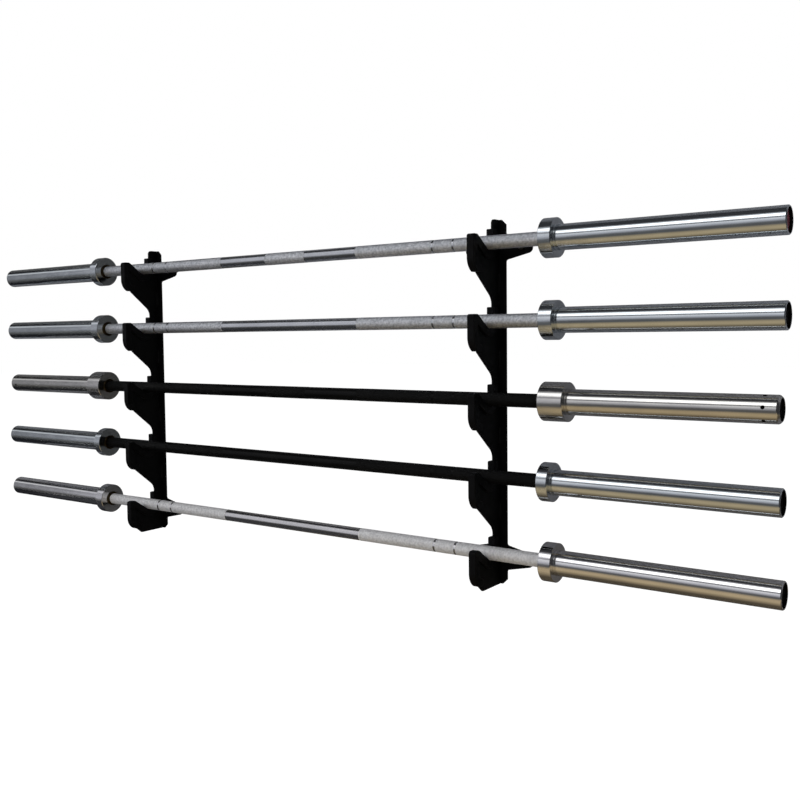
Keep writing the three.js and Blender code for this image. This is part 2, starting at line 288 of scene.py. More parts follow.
# Wall bolts: hexagon lag bolts with a washer face, turned through the lugs into the wall. Their dark zinc
# gives a dim grey against the black. The coarse thread on the shank shows only from behind.
bolt_shank_radius = 4
bolt_root_radius = 2.9
bolt_shank_length = 30
bolt_tip_length = 6
bolt_tip_radius = 1.2
bolt_plain_length = 7
bolt_thread_pitch = 3
bolt_flange_radius = 7.5
bolt_flange_thickness = 1
bolt_edge_round = 0.4
bolt_head_across_flats = 13
bolt_head_height = 5.5
bolt_head_chamfer = 1.2
bolt_crown_width = 1.1  # as a share of the head's radius
bolt_crown_fall = 1.3  # as a share of the head's chamfer
bolt_turns = (13, 41, 27, 2)
thread_rows_per_pitch = 8
shank_sides = 28
hexagon_sides = 6


def zinc_plate():
    """Dark passivated zinc on forged steel: a dim grey, with cloudy patches about 5 mm across."""
    finish, tree, shader = new_finish("zinc_plated_steel", {"Metallic": 1.0})
    place = own_space(tree)
    cloud = spread(tree, grain(tree, place, 5), 0, 1)
    tree.links.new(tint(tree, cloud, "4c4d50", "66676a"), shader["Base Color"])
    tree.links.new(spread(tree, grain(tree, place, 2), 0.28, 0.48), shader["Roughness"])
    tree.links.new(relief(tree, grain(tree, place, 0.8), 0.03, 0.5), shader["Normal"])
    return finish


def ring_mesh(name, rings, sides_round, reach=None):
    """A closed surface of rings (radius, place along X) round the X axis, as left by turning it."""
    shape = bmesh.new()
    rows = []
    for radius, along in rings:
        if radius <= 0:
            rows.append([shape.verts.new((along * mm, 0, 0))])
            continue
        row = []
        for step in range(sides_round):
            angle = math.tau * step / sides_round
            out = reach(radius, along, angle) if reach else radius
            row.append(shape.verts.new(Vector((along, out * math.cos(angle), out * math.sin(angle))) * mm))
        rows.append(row)
    for first, second in zip(rows, rows[1:]):
        for step in range(sides_round):
            corners = [first[step % len(first)], first[(step + 1) % len(first)],
                       second[(step + 1) % len(second)], second[step % len(second)]]
            corners = list(dict.fromkeys(corners))
            if len(corners) > 2:
                shape.faces.new(corners)
    mesh = bpy.data.meshes.new(name)
    shape.to_mesh(mesh)
    shape.free()
    return dressed(name, mesh)


def rod_rings(radius, start, end):
    """The rings of a plain rod between two places along its axis."""
    return [(0, start), (radius, start), (radius, end), (0, end)]


def combined(name, mesh, tool, operation):
    """One mesh joined with, cut by or kept within another."""
    other = bpy.data.objects.new(name + "_tool", tool)
    scene.collection.objects.link(other)
    settings = {"object": other, "operation": operation, "solver": "EXACT"}
    result = evaluated(name, mesh, ("BOOLEAN", settings))
    bpy.data.objects.remove(other)
    return dressed(name, result)


def thread_reach(radius, along, angle):
    """The shank's radius: a rounded thread winds once in each pitch, and stops where the shank is plain."""
    if radius <= bolt_root_radius or along > -bolt_plain_length:
        return radius
    wave = (along / bolt_thread_pitch - angle / math.tau) % 1
    ridge = max(0.0, 1 - abs(wave - 0.5) * 4)
    return min(radius, bolt_root_radius + (bolt_shank_radius - bolt_root_radius) * ridge)


thread_start = -bolt_plain_length
thread_end = -bolt_shank_length + bolt_tip_length
thread_rows = round((thread_start - thread_end) / bolt_thread_pitch * thread_rows_per_pitch)
thread_step = (thread_start - thread_end) / thread_rows
shank_rings = [(0, -bolt_shank_length), (bolt_tip_radius, -bolt_shank_length)]
shank_rings += [(bolt_shank_radius, thread_end + thread_step * row) for row in range(thread_rows + 1)]
shank_rings += [(bolt_shank_radius, thread_start + bolt_edge_round), (bolt_shank_radius, 0)]
shank_rings += rounded([(bolt_shank_radius, 0), (bolt_flange_radius, 0, bolt_edge_round),
                        (bolt_flange_radius, bolt_flange_thickness, bolt_edge_round),
                        (0, bolt_flange_thickness)], 3, closed=False)[1:]
shank = ring_mesh("wall_bolt_shank", shank_rings, shank_sides, thread_reach)
head_radius = bolt_head_across_flats / 2 / math.cos(math.pi / 6)
head_top = bolt_flange_thickness + bolt_head_height
head_start = bolt_flange_thickness / 2
prism = ring_mesh("wall_bolt_prism", rod_rings(head_radius, head_start, head_top), hexagon_sides)
crown_radius = head_radius * bolt_crown_width
crown_rings = [(0, 0), (crown_radius, 0), (crown_radius, head_top - bolt_head_chamfer * bolt_crown_fall),
               (head_radius - bolt_head_chamfer, head_top), (0, head_top)]
crown = ring_mesh("wall_bolt_crown", crown_rings, circle_steps)
bolt_head = combined("wall_bolt_head", prism, crown, "INTERSECT")
wall_bolt_mesh = combined("wall_bolt", shank, bolt_head, "UNION")
wall_bolt_mesh.transform(Matrix.Rotation(-math.pi / 2, 4, "Z"))
zinc = zinc_plate()
for side, across in sides.items():
    for index, (x, z) in enumerate(bolt_places):
        name = f"{side}_wall_bolt_{index + 1}"
        bolt = stand_for(name, wall_bolt_mesh, (across + x, -wall_plate_thickness - fit_gap, z),
                         "rack", zinc)
        bolt.rotation_euler.y = math.radians(bolt_turns[index])


# Hook plates: one 5 mm steel plate stands on edge on each wall plate, laser cut into five hooks with a
# sloped gusset under each. It is welded on with short runs down both sides, then powder coated with it.
bar_reach = 55
shaft_radius = 14
plate_thickness = 5
slope_start_reach = 40
slope_start_drop = 61.5
slope_degrees = 38
slope_fillet = 27
top_round = 9
seat_clearance = 0.5
seat_slope = math.radians(34)
nose_reach = 65
nose_rise = 14.5
nose_front_round = 6
nose_back_round = 8
heel_radius = 32
heel_drop = 31
liner_thickness = 9
liner_rise = 29
liner_tail_reach = 47.5
weld_leg = 4
weld_length = 38
weld_ripple = 2.2
weld_ripple_depth = 0.1  # as a share of the bead's size
weld_rows_per_ripple = 5
weld_end_share = 0.15
weld_bulge_middle = 0.1  # as a share of the bead's size
weld_bulge_radius = 0.72  # as a share of the bead's size
weld_bulge_trim = 0.15  # in radians, at each end of the bulge's arc
weld_bulge_steps = 6
heel_steps = 14
seat_steps = 32


def hook_edge(inset, tail_reach):
    """The hook's edge as (reach, height) from the bar's axis, set in from the liner's outside, upwards."""
    seat = shaft_radius + seat_clearance
    front = nose_reach - inset
    top = nose_rise - inset
    heel = heel_radius - inset
    heel_middle = nose_reach - heel_radius
    back_of_top = (top * math.cos(seat_slope) + seat + inset) / math.sin(seat_slope)
    if back_of_top < front:
        foot_of_slope = (0, -(seat + inset) / math.cos(seat_slope))
        nose = rounded([(front, -heel_drop), (front, top, nose_front_round - inset),
                        (back_of_top, top, nose_back_round - inset), foot_of_slope], closed=False)[1:-1]
    else:
        nose = [(front, (front * math.sin(seat_slope) - seat - inset) / math.cos(seat_slope))]
    tail_angle = math.acos(max(-1, min(1, (tail_reach - heel_middle) / heel)))
    tail_level = -heel_drop - math.sqrt(heel_radius ** 2 - (liner_tail_reach - heel_middle) ** 2)
    points = [(tail_reach, tail_level)]
    points += arc(heel_middle, -heel_drop, heel, -tail_angle, 0, heel_steps)
    points += nose
    points += arc(0, 0, seat + inset, seat_slope - math.pi / 2, -math.pi, seat_steps)
    points.append((-seat - inset, liner_rise))
    return [(x + bar_reach, y) for x, y in points]


def raised(points, level):
    return [(x, y + level) for x, y in points]


fall = math.tan(math.radians(slope_degrees))
strip_reach = bar_reach - shaft_radius - seat_clearance - liner_thickness - fit_gap
slope_reach = bar_reach + slope_start_reach
bottom_reach = slope_reach - (upright_drop - slope_start_drop) / fall
hook_plate_outline = [(wall_plate_thickness, upright_bottom), (bottom_reach, upright_bottom)]
for index in reversed(range(bar_count)):
    level = bar_level(index)
    slope_start = (slope_reach, level - slope_start_drop)
    if index < bar_count - 1:
        corner_level = slope_start[1] - (slope_reach - strip_reach) * fall
        fillet = (strip_reach, corner_level, slope_fillet)
        strip_foot = (strip_reach, level - bar_pitch)
        hook_plate_outline += rounded([strip_foot, fillet, slope_start], closed=False)[1:-1]
    hook_plate_outline.append(slope_start)
    hook_plate_outline += raised(hook_edge(liner_thickness + fit_gap, slope_start_reach)[1:-1], level)
hook_plate_outline += rounded([(strip_reach, bar_level(0)), (strip_reach, upright_top, top_round),
                               (wall_plate_thickness, upright_top)], closed=False)[1:]
on_edge = Matrix(((0, 0, -1, 0), (-1, 0, 0, 0), (0, 1, 0, 0), (0, 0, 0, 1)))
hook_plate_mesh = plate_mesh("hook_plate", [hook_plate_outline], plate_thickness, cut_edge_round)
hook_plate_mesh.transform(on_edge)
for side, across in sides.items():
    stand_for(f"{side}_hook_plate", hook_plate_mesh, (across, 0, 0), "rack", black_coat)


def weld_mesh(name, length, leg):
    """A fillet weld along Z in the corner of X and -Y: a rounded bead with the ripples of its pools."""
    shape = bmesh.new()
    rows = []
    steps = round(length / weld_ripple * weld_rows_per_ripple)
    for step in range(steps + 1):
        along = length * (step / steps - 0.5)
        taper = min(1.0, (length / 2 - abs(along)) / leg + weld_end_share) ** 0.5
        ripple = 1 - weld_ripple_depth * ((along / weld_ripple) % 1) ** 2
        size = leg * taper * ripple
        middle = size * weld_bulge_middle
        bulge = arc(middle, middle, size * weld_bulge_radius, weld_bulge_trim,
                    math.pi / 2 - weld_bulge_trim, weld_bulge_steps)
        corners = [(0, 0), (size, 0), *bulge, (0, size)]
        rows.append([shape.verts.new((x * mm, -y * mm, along * mm)) for x, y in corners])
    for first, second in zip(rows, rows[1:]):
        for step in range(len(first)):
            on = (step + 1) % len(first)
            shape.faces.new((first[step], first[on], second[on], second[step]))
    for row in (rows[0], rows[-1]):
        shape.faces.new(row)
    mesh = bpy.data.meshes.new(name)
    shape.to_mesh(mesh)
    shape.free()
    return dressed(name, mesh, sharp_degrees=60)


weld = weld_mesh("weld", weld_length, weld_leg)
weld.materials.append(black_coat)
for side, across in sides.items():
    for face in (-1, 1):
        for index in range(bar_count - 1):
            bead = bpy.data.objects.new(f"{side}_weld_{index + 1 if face > 0 else index + bar_count}", weld)
            bead.location = Vector((across + face * plate_thickness / 2, -wall_plate_thickness,
                                    bar_level(index) - bar_pitch / 2)) * mm
            bead.scale.x = face
            scene.collection.objects.link(bead)
            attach(bead, "rack")


# Liners: a grooved strip of moulded black plastic is pushed over each hook's edge, so that no steel
# touches a bar. It is dull and softly rounded, with a fine moulded grain.
liner_width = 16
liner_lip = 8
liner_end_round = 2.5
liner_edge_round = 1.5
groove_overrun = 2


def moulded_plastic():
    """Black polyethylene. Its moulded grain is about 0.5 mm, drawn at 1.5 mm so that it shows."""
    finish, tree, shader = new_finish("moulded_black_plastic", {"Specular IOR Level": 0.12})
    place = own_space(tree)
    rub = spread(tree, grain(tree, place, 18), 0, 1)
    tree.links.new(tint(tree, rub, "020203", "060608"), shader["Base Color"])
    tree.links.new(spread(tree, grain(tree, place, 9), 0.5, 0.68), shader["Roughness"])
    tree.links.new(relief(tree, grain(tree, place, 1.5), 0.06, 0.6), shader["Normal"])
    return finish


outside = hook_edge(0, liner_tail_reach)
back_top = outside.pop()
lip_edge = hook_edge(liner_thickness + liner_lip, slope_start_reach - liner_lip)
top_end = rounded([(back_top[0], 0), (*back_top, liner_end_round), (lip_edge[-1][0], back_top[1])],
                  closed=False)
liner_outline = [*outside[1:], *top_end[1:-1], *reversed(lip_edge)]
strip = plate_mesh("liner_strip", [liner_outline], liner_width, liner_edge_round)
groove_edge = hook_edge(liner_thickness, slope_start_reach + fit_gap)
foot = (groove_edge[0][0], groove_edge[0][1] - groove_overrun)
top = (groove_edge[-1][0], groove_edge[-1][1] + groove_overrun)
groove_outline = [foot, *groove_edge, top, (0, top[1]), (0, foot[1])]
groove = plate_mesh("liner_groove", [groove_outline], plate_thickness + fit_gap * 2, fit_gap)
liner_mesh = combined("liner", strip, groove, "DIFFERENCE")
liner_mesh.transform(on_edge)
plastic = moulded_plastic()
for side, across in sides.items():
    for index in range(bar_count):
        stand_for(f"{side}_liner_{index + 1}", liner_mesh, (across, 0, bar_level(index)),
                  "rack", plastic)


# Shafts: solid steel bars 28 mm thick, turned down at both ends to run in the sleeves. Two are blackened
# and three satin chromed. Diamond knurling grips the hand, with smooth bands and rings between.
grip_length = 1310
sleeve_radius = 25
sleeve_wall = 7.5
running_gap = 0.7
bushing_wall = 4
bushing_flange_thickness = 2.5
mouth_depth = 12
end_bolt_shank_radius = 5
end_bolt_shank_length = 40
end_bolt_hole_gap = 0.6
smooth_step = 0.2
shaft_edge_round = 1
knurl_start = 207
centre_knurl_end = 60
ring_marks = (405, 455)
ring_mark_width = 5
knurl_end_inset = 4.5
knurl_ridges = 28
oxide_gloss = 0.1
shaft_sides = 72
shared = {"centre_knurl": False, "cap": "black"}
plain = {**shared, "sleeve_length": 437, "mouth_wall": 3, "end_chamfer": 1.5, "holes": 0,
         "sleeve": "bright"}
heavy = {**shared, "sleeve_length": 431, "mouth_wall": 5, "end_chamfer": 4, "holes": 6,
         "sleeve": "coarse"}
bars = [
    {**plain, "shift": -8, "collar_width": 26.5, "shaft": "satin", "centre_knurl": True, "cap": "red"},
    {**plain, "shift": -8, "collar_width": 28.5, "shaft": "satin"},
    {**heavy, "shift": -10, "collar_width": 51, "shaft": "black", "centre_knurl": True},
    {**plain, "shift": -13, "collar_width": 23, "shaft": "black"},
    {**plain, "shift": -9, "collar_width": 26.5, "shaft": "satin_painted_lighter", "sleeve": "warm"},
]


def turned_space(tree):
    """A space for turned pieces, as place along the axis and distance from it: tool lines run round it."""
    parts = add_node(tree, "SeparateXYZ", {0: own_space(tree)}).outputs
    out = add_node(tree, "CombineXYZ", {1: parts[1], 2: parts[2]}).outputs[0]
    radius = add_node(tree, "VectorMath", {0: out}, operation="LENGTH").outputs["Value"]
    return add_node(tree, "CombineXYZ", {0: parts[0], 1: radius}).outputs[0], parts


def turned_metal(name, low, high, smooth, rough, line, line_depth, anisotropy=0.6, oxide=False,
                 metallic=1.0, patch_and_glint_size=22, patch_and_glint_stretch=(3, 1, 1)):
    """Turned steel, plated or oxidised, lighter and darker from place to place, or on knurling in painted
    glints. The tool's lines run round it and stretch each highlight along the axis."""
    constants = {"Anisotropic": anisotropy, "Anisotropic Rotation": 0.25}
    constants.update({"Specular IOR Level": oxide_gloss} if oxide else {"Metallic": metallic})
    finish, tree, shader = new_finish(name, constants)
    round_axis, parts = turned_space(tree)
    place = own_space(tree)
    tangent = add_node(tree, "Tangent", direction_type="RADIAL", axis="X").outputs[0]
    tree.links.new(tangent, shader["Tangent"])
    # On knurling these grains are painted glints, where its points would catch the light.
    patches_and_glints = spread(tree, grain(tree, place, patch_and_glint_size, stretch=patch_and_glint_stretch), 0, 1)
    tree.links.new(tint(tree, patches_and_glints, low, high), shader["Base Color"])
    smears = grain(tree, place, 9, detail=3, stretch=(2, 1, 1))
    tree.links.new(spread(tree, smears, smooth, rough), shader["Roughness"])
    lines = relief(tree, grain(tree, round_axis, line, detail=3), line_depth, 0.5)
    tree.links.new(lines, shader["Normal"])
    return finish, tree, shader, parts, lines


def knurled_metal(name, low, high, smooth, rough, oxide=False, metallic=1.0):
    """Diamond knurling. Its real pitch is about 1.2 mm, drawn at 3 mm so that the diamonds show.
    Its points catching the light one by one are painted into its colour, as lighter and darker grains of 5
    mm, so that it sparkles."""
    finish, tree, shader, parts, lines = turned_metal(
        name, low, high, smooth, rough, line=2, line_depth=0.02, anisotropy=0.0, oxide=oxide,
        metallic=metallic, patch_and_glint_size=5, patch_and_glint_stretch=(1, 1, 1))
    turn = add_node(tree, "Math", {0: parts[1], 1: parts[2]}, operation="ARCTAN2").outputs[0]
    round_it = add_node(tree, "Math", {0: turn, 1: knurl_ridges / 2}, operation="MULTIPLY").outputs[0]
    slant = knurl_ridges / 2 / (shaft_radius * mm)
    along = add_node(tree, "Math", {0: parts[0], 1: slant}, operation="MULTIPLY").outputs[0]
    waves = []
    for way in ("ADD", "SUBTRACT"):
        phase = add_node(tree, "Math", {0: round_it, 1: along}, operation=way).outputs[0]
        wave = add_node(tree, "Math", {0: phase}, operation="SINE").outputs[0]
        waves.append(add_node(tree, "Math", {0: wave}, operation="ABSOLUTE").outputs[0])
    diamond = add_node(tree, "Math", {0: waves[0], 1: waves[1]}, operation="MINIMUM").outputs[0]
    tree.links.new(relief(tree, diamond, 0.5, 0.8, lines), shader["Normal"])
    return finish


shaft_finishes = {
    "satin": (turned_metal("satin_chrome", "c6c8cb", "d4d6d8", 0.18, 0.26, 1.5, 0.006)[0],
              knurled_metal("knurled_satin_chrome", "cacdd2", "fafcff", 0.42, 0.55)),
    # The bottom bar's satin chrome, painted lighter and warmer for the light that falls on it from below
    # and in front.
    "satin_painted_lighter": (turned_metal("satin_chrome_painted_lighter", "d6d4d3", "e2e0df", 0.18, 0.26, 1.5, 0.006)[0],
                   knurled_metal("knurled_satin_chrome_painted_lighter", "e2e1e2", "ffffff", 0.55, 0.7, metallic=0.82)),
    "black": (turned_metal("black_oxide_steel", "060606", "0c0c0c", 0.3, 0.42, 1.5, 0.006, oxide=True)[0],
              knurled_metal("knurled_black_oxide_steel", "050505", "0b0b0b", 0.4, 0.55, oxide=True)),
}


def bar_stations(bar):
    """Lengths along a bar, from its middle out to one end."""
    collar = grip_length / 2
    end = collar + bar["sleeve_length"]
    mouth = end - mouth_depth
    shoulder = collar - bushing_flange_thickness - fit_gap * 2
    return collar, end, shoulder, mouth, mouth - fit_gap


bore_radius = sleeve_radius - sleeve_wall
journal_radius = bore_radius - fit_gap - bushing_wall - running_gap


def knurl_zones(bar):
    """The knurled lengths of half a shaft, from its middle outwards."""
    last = grip_length / 2 - knurl_end_inset
    starts = [knurl_start] + [mark + ring_mark_width / 2 for mark in ring_marks]
    ends = [mark - ring_mark_width / 2 for mark in ring_marks] + [last]
    zones = list(zip(starts, ends))
    return [(-centre_knurl_end, centre_knurl_end)] + zones if bar["centre_knurl"] else zones


def shaft_mesh(name, bar):
    """The shaft: knurled zones stand a little proud of smooth ones, and each end is tapped for a bolt."""
    _, _, shoulder, _, journal_end = bar_stations(bar)
    smooth_radius = shaft_radius - smooth_step
    rings = []
    for start, end in knurl_zones(bar):
        if end > 0 and start >= 0:
            rings += [(smooth_radius, start), (shaft_radius, start + smooth_step),
                      (shaft_radius, end - smooth_step), (smooth_radius, end)]
        else:
            rings += [(shaft_radius, 0), (shaft_radius, end - smooth_step), (smooth_radius, end)]
    hole_radius = end_bolt_shank_radius + end_bolt_hole_gap
    hole_end = journal_end - end_bolt_shank_length - end_bolt_hole_gap
    rings += rounded([(smooth_radius, shoulder - shaft_edge_round * 3),
                      (smooth_radius, shoulder, shaft_edge_round),
                      (journal_radius, shoulder), (journal_radius, journal_end, shaft_edge_round),
                      (hole_radius, journal_end), (hole_radius, hole_end), (0, hole_end)],
                     steps=4, closed=False)
    mirrored = [(radius, -along) for radius, along in reversed(rings) if along > 0]
    mesh = ring_mesh(name, mirrored + rings, shaft_sides)
    smooth_finish, knurled_finish = shaft_finishes[bar["shaft"]]
    mesh.materials.append(smooth_finish)
    mesh.materials.append(knurled_finish)
    zones = knurl_zones(bar)
    for face in mesh.polygons:
        along = abs(face.center.x) / mm
        face.material_index = int(any(start < along < end for start, end in zones))
    return mesh


def bar_place(index):
    return bars[index]["shift"], -bar_reach, bar_level(index)


for index, bar in enumerate(bars):
    name = f"bar_{index + 1}"
    stand_for(f"{name}_shaft", shaft_mesh(f"{name}_shaft_steel", bar), bar_place(index), name)


# Sleeves: thick steel tubes that spin on the shaft's ends and carry the plates, each with its collar turned
# from the same piece. They are hard chromed. The middle bar's is coarser, and drilled for a pin spanner.
collar_height = 13.3
collar_chamfer = 1
collar_fillet = 1
end_wall_thickness = 10
spanner_hole_radius = 3.5
spanner_hole_inset = 26
spanner_hole_turn = math.radians(49)
collar_edge_round = 0.6
bore_edge_round = 0.5
mouth_rim_round = 0.3
sleeve_sides = 128
hole_sides = 24
drill_overrun = 2
sleeve_finishes = {
    "bright": turned_metal("hard_chrome", "c9ced1", "d6dbde", 0.1, 0.17, 1.2, 0.002)[0],
    "warm": turned_metal("fresh_hard_chrome", "d8d7d8", "e3e2e2", 0.1, 0.17, 1.2, 0.002)[0],
    "coarse": turned_metal("coarse_turned_chrome", "c6c4c1", "d5d3ce", 0.12, 0.19, 2.2, 0.005)[0],
}
# The mouth's inner wall and the bore are painted near black, as the shade inside the sleeve's mouth.
bore_and_mouth_painted_shade = turned_metal("bore_and_mouth_painted_black", "030303", "080808", 0.4, 0.6, 1.0, 0.01, anisotropy=0.0,
                           oxide=True)[0]
drill_rings = rod_rings(spanner_hole_radius, 0, sleeve_radius + drill_overrun)
hole_drill = ring_mesh("spanner_drill", drill_rings, hole_sides)
hole_drill.transform(Matrix.Rotation(math.pi / 2, 4, "Z"))


def sleeve_mesh(name, bar):
    """Half a bar's sleeve, lying along +X from the bar's middle."""
    collar, end, _, mouth, _ = bar_stations(bar)
    collar_radius = sleeve_radius + collar_height
    collar_end = collar + bar["collar_width"]
    mouth_radius = sleeve_radius - bar["mouth_wall"]
    wall_bore = journal_radius + running_gap
    chamfer = bar["end_chamfer"]
    profile = rounded([
        (bore_radius, collar, bore_edge_round),
        (collar_radius - collar_chamfer, collar, collar_edge_round),
        (collar_radius, collar + collar_chamfer, collar_edge_round),
        (collar_radius, collar_end - collar_chamfer, collar_edge_round),
        (collar_radius - collar_chamfer, collar_end, collar_edge_round),
        (sleeve_radius, collar_end, collar_fillet),
        (sleeve_radius, end - chamfer, chamfer),
        (sleeve_radius - chamfer, end, mouth_rim_round),
        (mouth_radius, end, mouth_rim_round),
        (mouth_radius, mouth),
        (wall_bore, mouth),
        (wall_bore, mouth - end_wall_thickness),
        (bore_radius, mouth - end_wall_thickness),
    ], steps=4)
    mesh = ring_mesh(name, profile + profile[:1], sleeve_sides)
    for hole in range(bar["holes"]):
        drill = hole_drill.copy()
        turn = Matrix.Rotation(spanner_hole_turn + math.tau * hole / bar["holes"], 4, "X")
        drill.transform(Matrix.Translation(((end - spanner_hole_inset) * mm, 0, 0)) @ turn)
        mesh = combined(name, mesh, drill, "DIFFERENCE")
    mesh.materials.append(sleeve_finishes[bar["sleeve"]])
    mesh.materials.append(bore_and_mouth_painted_shade)
    for face in mesh.polygons:
        # Faces inside the mouth's radius take the painted shade.
        face.material_index = int(face.center.yz.length <= mouth_radius * mm)
    return mesh


for index, bar in enumerate(bars):
    name = f"bar_{index + 1}"
    mesh = sleeve_mesh(f"{name}_sleeve_steel", bar)
    for side in sides:
        sleeve = stand_for(f"{name}_{side}_sleeve", mesh, bar_place(index), f"{name}_{side}_sleeve")
        sleeve.rotation_euler.z = math.pi if side == "left" else 0


# Bushings: flanged bronze bearings, pressed into each sleeve from its collar end, in which the shaft turns.
# The flange's edge shows as a dull brown ring between collar and shaft: partly the oiled bronze's own tone,
# partly painted shade for the gap it sits in.
bushing_length = 40
bushing_flange_height = 1.8
bushing_bore_round = 0.4
bushing_flange_round = 0.5
bushing_root_round = 0.2
bushing_lead_round = 0.8
bushing_sides = 96
# Bronze painted darker than its own colour, as the shade in the gap between collar and shaft.
bronze = turned_metal("oiled_bronze_with_painted_shade", "3b3226", "53472f", 0.35, 0.5, 1.0, 0.01)[0]


def bushing_mesh(name):
    """A bushing lying along +X from the bar's middle."""
    bore = journal_radius + running_gap
    outside_radius = bore_radius - fit_gap
    flange = outside_radius + bushing_flange_height
    flange_end = grip_length / 2 - fit_gap
    start = flange_end - bushing_flange_thickness
    end = flange_end + bushing_length
    profile = rounded([
        (bore, start, bushing_bore_round),
        (flange, start, bushing_flange_round),
        (flange, flange_end, bushing_root_round),
        (outside_radius, flange_end, bushing_root_round),
        (outside_radius, end, bushing_lead_round),
        (bore, end, bushing_bore_round),
    ], steps=3)
    return ring_mesh(name, profile + profile[:1], bushing_sides)


bushing = bushing_mesh("bushing_bronze")
for index in range(bar_count):
    for side in sides:
        name = f"bar_{index + 1}_{side}"
        piece = stand_for(f"{name}_bushing", bushing, bar_place(index), f"{name}_sleeve",
                          bronze)
        piece.rotation_euler.z = math.pi if side == "left" else 0


# End bolts: a wide, low socket head screwed into each end of the shaft holds the sleeve on. They are
# blackened steel, and the top bar's are painted dark red.
end_bolt_recess = 5
end_bolt_head_gap = 1.5
socket_across_flats = 10
socket_depth = 5
end_bolt_edge_round = 1
end_bolt_inner_round = 0.4
step_radius_share = 0.72
step_depth = 1
step_edge_round = 0.3
end_bolt_sides = 96
black_bolt = turned_metal("blackened_bolt_steel", "060607", "0e0e0f", 0.35, 0.5, 1.2, 0.01, anisotropy=0.3,
                          oxide=True)[0]


def painted_red():
    """Dark red enamel on the bolt's head, with soft brush marks."""
    finish, tree, shader = new_finish("dark_red_enamel", {"Coat Weight": 0.3, "Coat Roughness": 0.25})
    round_axis, _ = turned_space(tree)
    wear = spread(tree, grain(tree, own_space(tree), 6), 0, 1)
    tree.links.new(tint(tree, wear, "481420", "602030"), shader["Base Color"])
    tree.links.new(spread(tree, grain(tree, round_axis, 2), 0.35, 0.5), shader["Roughness"])
    tree.links.new(relief(tree, grain(tree, round_axis, 1.2), 0.05, 0.5), shader["Normal"])
    return finish


def end_bolt_mesh(name, bar):
    """An end bolt lying along +X from the bar's middle, with a shallow step turned round its socket."""
    _, end, _, mouth, journal_end = bar_stations(bar)
    head_start = mouth + fit_gap
    face = end - end_bolt_recess
    radius = sleeve_radius - bar["mouth_wall"] - end_bolt_head_gap
    tip = journal_end - end_bolt_shank_length
    step_radius = radius * step_radius_share
    floor = face - step_depth
    profile = rounded([
        (0, tip),
        (end_bolt_shank_radius, tip, end_bolt_edge_round),
        (end_bolt_shank_radius, head_start, end_bolt_inner_round),
        (radius, head_start, end_bolt_inner_round),
        (radius, face, end_bolt_edge_round),
        (step_radius, face, step_edge_round),
        (step_radius - step_depth, floor, step_edge_round),
        (0, floor),
    ], steps=3, closed=False)
    mesh = ring_mesh(name, profile, end_bolt_sides)
    socket_radius = socket_across_flats / 2 / math.cos(math.pi / 6)
    socket_rings = rod_rings(socket_radius, floor - socket_depth, end)
    socket = ring_mesh(name + "_socket", socket_rings, hexagon_sides)
    return combined(name, mesh, socket, "DIFFERENCE")


end_finishes = {"black": black_bolt, "red": painted_red()}
for index, bar in enumerate(bars):
    name = f"bar_{index + 1}"
    mesh = end_bolt_mesh(f"{name}_end_bolt_steel", bar)
    for side in sides:
        bolt = stand_for(f"{name}_{side}_end_bolt", mesh, bar_place(index), name,
                         end_finishes[bar["cap"]])
        bolt.rotation_euler.z = math.pi if side == "left" else 0


# Studio: a pale floor, a white surround and one wide soft lamp overhead in front of the rack. Plain graded
# cards stand round it as a room, in three bays of ceiling, front wall and floor, with a back wall and one
# side. Only mirrors see them, so that the bars' steel has something to mirror. Their shades are partly a
# room's own colours, its tan floor and grey walls, and partly its light and shade painted on: white rows
# glow as its lamps and windows, and black and charcoal rows stand for its shaded ceiling and corners.
floor_level = -1200
ceiling_level = 6000
back_wall = 70
front_wall = -13000
right_wall = 3500
lamp_start = -4700
lamp_end = -9400
lamp_left = -4000
lamp_drop = 20
lamp_power = 144
far = 30000
surround_light = 0.8
floor_glow = 0.3
floor_colour = "f4f4f4"
card_gap = 2  # between the floor and the card on it
card_colours = {"white": "f4f6fa", "silver": "cacbd3", "grey": "828388", "dim": "606060",
                "charcoal": "3a3b3e", "black": "202124", "tan": "bba988", "brown": "574f41"}


def surround():
    """White wherever it is seen or mirrored, and a little weaker as a light."""
    world = bpy.data.worlds.new("studio")
    world.use_nodes = True
    tree = world.node_tree
    tree.nodes.clear()
    path = add_node(tree, "LightPath").outputs
    seen = path["Is Camera Ray"]
    for other in ("Is Glossy Ray", "Is Transmission Ray"):
        seen = add_node(tree, "Math", {0: seen, 1: path[other]}, operation="MAXIMUM").outputs[0]
    levels = {"Value": seen, "To Min": surround_light, "To Max": 1.0}
    strength = add_node(tree, "MapRange", levels).outputs[0]
    background = add_node(tree, "Background", {"Color": (1, 1, 1, 1), "Strength": strength})
    add_node(tree, "OutputWorld", {"Surface": background.outputs[0]})
    return world


scene.world = surround()
scene.view_settings.view_transform = "Standard"


def floor_paint():
    """A matt pale floor that the camera sees as white, but for the object's soft shadow."""
    finish, tree, shader = new_finish("pale_floor", {"Base Color": linear(floor_colour), "Roughness": 0.9,
                                                     "Specular IOR Level": 0.0})
    seen = add_node(tree, "LightPath").outputs["Is Camera Ray"]
    glow = add_node(tree, "Math", {0: seen, 1: floor_glow}, operation="MULTIPLY").outputs[0]
    tree.links.new(glow, shader["Emission Strength"])
    shader["Emission Color"].default_value = (1, 1, 1, 1)
    return finish


